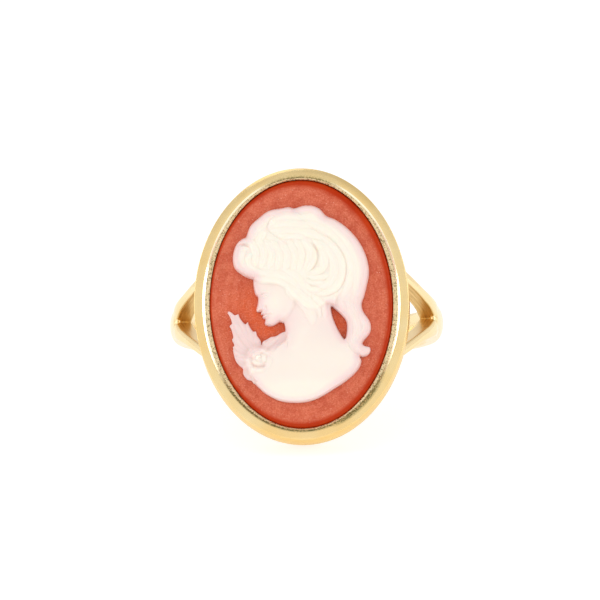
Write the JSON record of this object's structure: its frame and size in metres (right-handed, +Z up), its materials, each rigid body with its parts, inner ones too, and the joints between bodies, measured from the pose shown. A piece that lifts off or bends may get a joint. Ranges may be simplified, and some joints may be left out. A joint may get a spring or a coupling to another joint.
{
  "type": "cameo ring",
  "caption": "Oval cameo ring: a cast gold-coloured split-shank band with an oval cup holding a coral-red plate and a pale raised bust.",
  "frame": {"origin": "on the table, under the middle of the ring as it rests", "axes": "+Z up; the cameo faces -Y and leans back, looking upwards, and the finger hole leans back with it; X runs across the ring"},
  "size_m": [0.0194, 0.024, 0.0185],
  "materials": {
    "gold_plated_metal": "polished pale gold plating with fine scratches and a rough ledge inside the crest",
    "coral_resin": "fine-grained coral red with light specks and a glossy bevelled edge",
    "cream_resin": "satin cream, slightly translucent, cooler and pinkish where it is thin"
  },
  "bodies": {
    "root": {"setting": "gold_plated_metal", "cameo_plate": "coral_resin", "cameo_relief": "cream_resin"}
  },
  "joints": []
}
